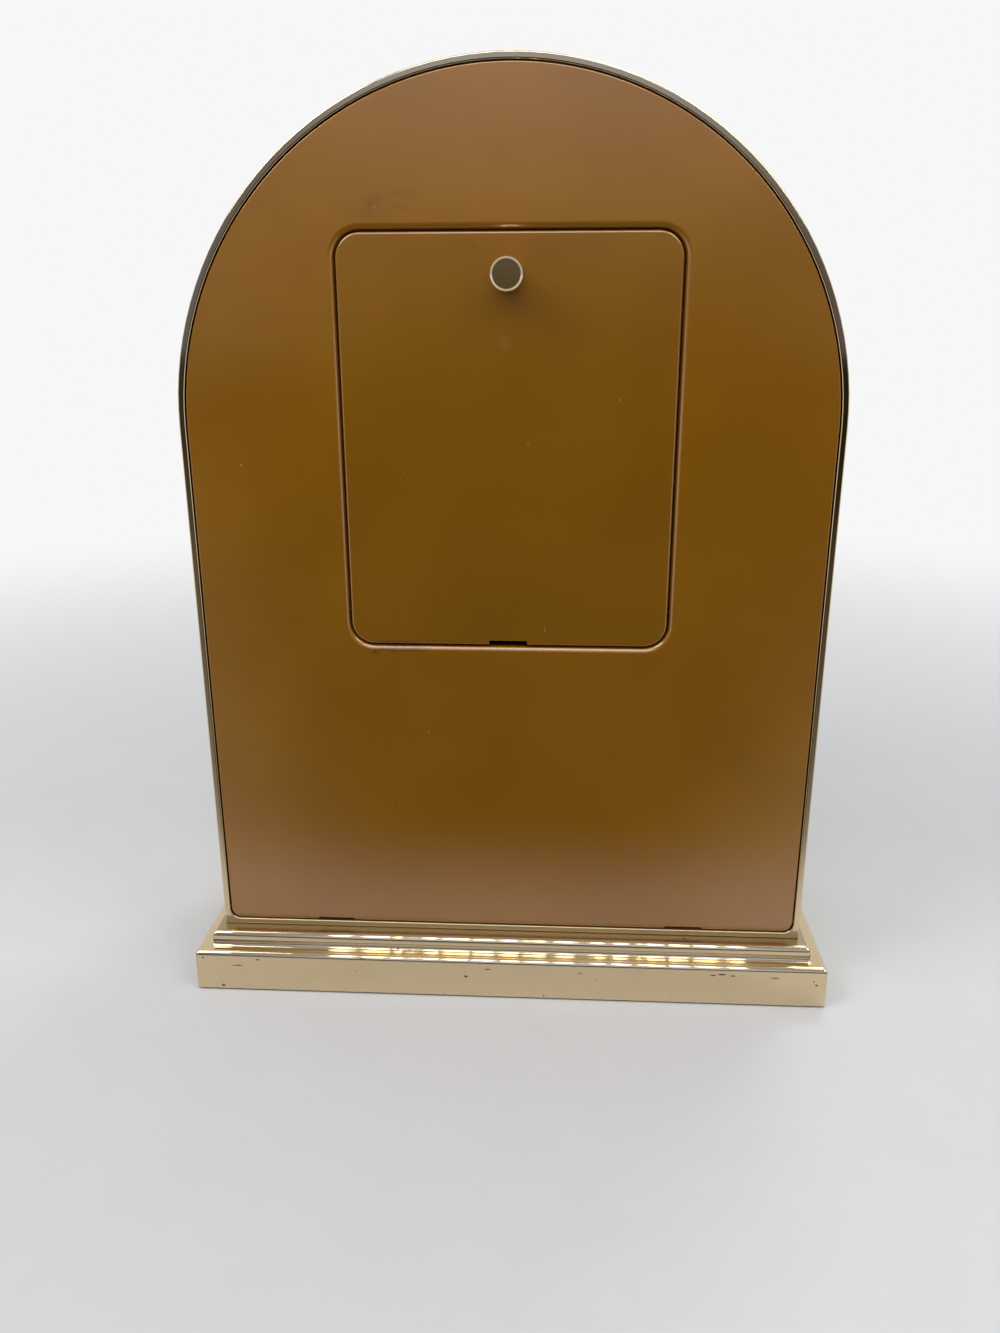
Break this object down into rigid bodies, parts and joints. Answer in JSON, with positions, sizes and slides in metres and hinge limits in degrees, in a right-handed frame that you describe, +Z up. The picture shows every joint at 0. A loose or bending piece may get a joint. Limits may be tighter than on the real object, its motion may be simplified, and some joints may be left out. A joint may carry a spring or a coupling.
{
  "type": "arched shelf clock",
  "caption": "Round-arched brass shelf clock on a stepped plinth, with a glazed dial, a drop-down access door with a pull knob in the back panel, and a quartz movement inside.",
  "frame": {"origin": "on the table, under the middle of the plinth", "axes": "+Z up, the dial faces -Y, the back panel and its door face +Y"},
  "size_m": [0.184, 0.0764, 0.248],
  "materials": {
    "polished_brass": "polished brass plate with light wear",
    "bronze_panel": "satin metallic bronze paint",
    "zinc_steel": "zinc-plated steel",
    "black_steel": "black painted sheet steel",
    "felt": "dark felt pads",
    "clear_glass": "clear flat glass",
    "black_rubber": "matte rubber",
    "dial_gold": "fine brushed gold",
    "ivory_enamel": "ivory enamel with black print",
    "hand_black": "gloss black",
    "spring_steel": "bright spring steel",
    "movement_plastic": "black moulded plastic",
    "gear_plastic": "white moulded plastic",
    "turned_brass": "turned brass",
    "stator_steel": "bare sheet steel",
    "coil_copper": "enamelled copper wire",
    "board": "green circuit board",
    "chip_plastic": "black moulded chip",
    "crystal_can": "plain metal can",
    "cell_jacket": "plain printed jacket",
    "contact_nickel": "nickel-plated strip",
    "magnet": "sintered magnet"
  },
  "bodies": {
    "case": {"base_plinth": "polished_brass", "case_shell": "polished_brass", "front_bezel": "polished_brass", "back_panel": "bronze_panel", "base_screws": "zinc_steel", "base_nuts": "zinc_steel", "base_plate_screws": "zinc_steel", "bezel_screws": "zinc_steel", "dial_screws": "zinc_steel", "catch_screws": "zinc_steel", "movement_screws": "zinc_steel", "bridge_screws": "zinc_steel", "base_plate": "black_steel", "base_feet": "felt", "front_glass": "clear_glass", "glass_gasket": "black_rubber", "dial_cushion": "black_rubber", "dial_plate": "dial_gold", "dial_centre": "dial_gold", "chapter_ring": "ivory_enamel", "door_catch": "spring_steel", "movement_front_case": "movement_plastic", "movement_rear_cover": "movement_plastic", "train_bridge": "gear_plastic", "coil_bobbin": "gear_plastic", "threaded_bush": "turned_brass", "hand_nut": "turned_brass", "hand_washer": "turned_brass", "stator": "stator_steel", "coil_winding": "coil_copper", "circuit_board": "board", "control_chip": "chip_plastic", "quartz_crystal": "crystal_can", "dry_cell": "cell_jacket", "negative_contact": "contact_nickel", "positive_contact": "contact_nickel"},
    "door": {"door_panel": "bronze_panel", "hinge_pins": "zinc_steel", "door_knob": "polished_brass", "knob_washer": "zinc_steel", "knob_nut": "zinc_steel"},
    "minute": {"minute_hand": "hand_black", "cannon_pinion": "gear_plastic"},
    "hour": {"hour_hand": "hand_black", "hour_wheel": "gear_plastic"},
    "minute_work": {"minute_work_wheel": "gear_plastic"},
    "setting": {"setting_knob": "movement_plastic"},
    "second": {"second_hand": "hand_black", "second_wheel": "gear_plastic"},
    "centre": {"centre_wheel": "gear_plastic"},
    "third": {"third_wheel": "gear_plastic"},
    "intermediate": {"intermediate_wheel": "gear_plastic"},
    "rotor": {"rotor": "gear_plastic", "rotor_magnet": "magnet"}
  },
  "joints": [
    {"name": "door_hinge", "type": "hinge", "parent": "case", "child": "door", "pos_m": [0, 0.0271, 0.11445], "axis": [-1, 0, 0], "range_deg": [0, 104]},
    {"name": "minute_turn", "type": "hinge", "parent": "case", "child": "minute", "pos_m": [0, 0, 0.163], "axis": [0, 1, 0], "continuous": true},
    {"name": "hour_turn", "type": "hinge", "parent": "case", "child": "hour", "pos_m": [0, 0, 0.163], "axis": [0, 1, 0], "continuous": true},
    {"name": "minute_work_turn", "type": "hinge", "parent": "case", "child": "minute_work", "pos_m": [0, 0, 0.171], "axis": [0, 1, 0], "continuous": true},
    {"name": "setting_turn", "type": "hinge", "parent": "case", "child": "setting", "pos_m": [0, 0, 0.179], "axis": [0, 1, 0], "continuous": true},
    {"name": "second_turn", "type": "hinge", "parent": "case", "child": "second", "pos_m": [0, 0, 0.163], "axis": [0, 1, 0], "continuous": true},
    {"name": "centre_turn", "type": "hinge", "parent": "case", "child": "centre", "pos_m": [0, 0, 0.163], "axis": [0, 1, 0], "continuous": true},
    {"name": "third_turn", "type": "hinge", "parent": "case", "child": "third", "pos_m": [-0.00846, 0, 0.16608], "axis": [0, 1, 0], "continuous": true},
    {"name": "intermediate_turn", "type": "hinge", "parent": "case", "child": "intermediate", "pos_m": [0.0075, 0, 0.163], "axis": [0, 1, 0], "continuous": true},
    {"name": "rotor_turn", "type": "hinge", "parent": "case", "child": "rotor", "pos_m": [0.01408, 0, 0.16539], "axis": [0, 1, 0], "continuous": true}
  ],
  "couplings": [
    {"joint": "minute_work_turn", "follows": "minute_turn", "ratio": -0.33333},
    {"joint": "hour_turn", "follows": "minute_turn", "ratio": 0.083333},
    {"joint": "setting_turn", "follows": "minute_turn", "ratio": 1},
    {"joint": "third_turn", "follows": "second_turn", "ratio": -0.13333},
    {"joint": "centre_turn", "follows": "second_turn", "ratio": 0.016667},
    {"joint": "intermediate_turn", "follows": "second_turn", "ratio": -5},
    {"joint": "rotor_turn", "follows": "second_turn", "ratio": 30}
  ]
}
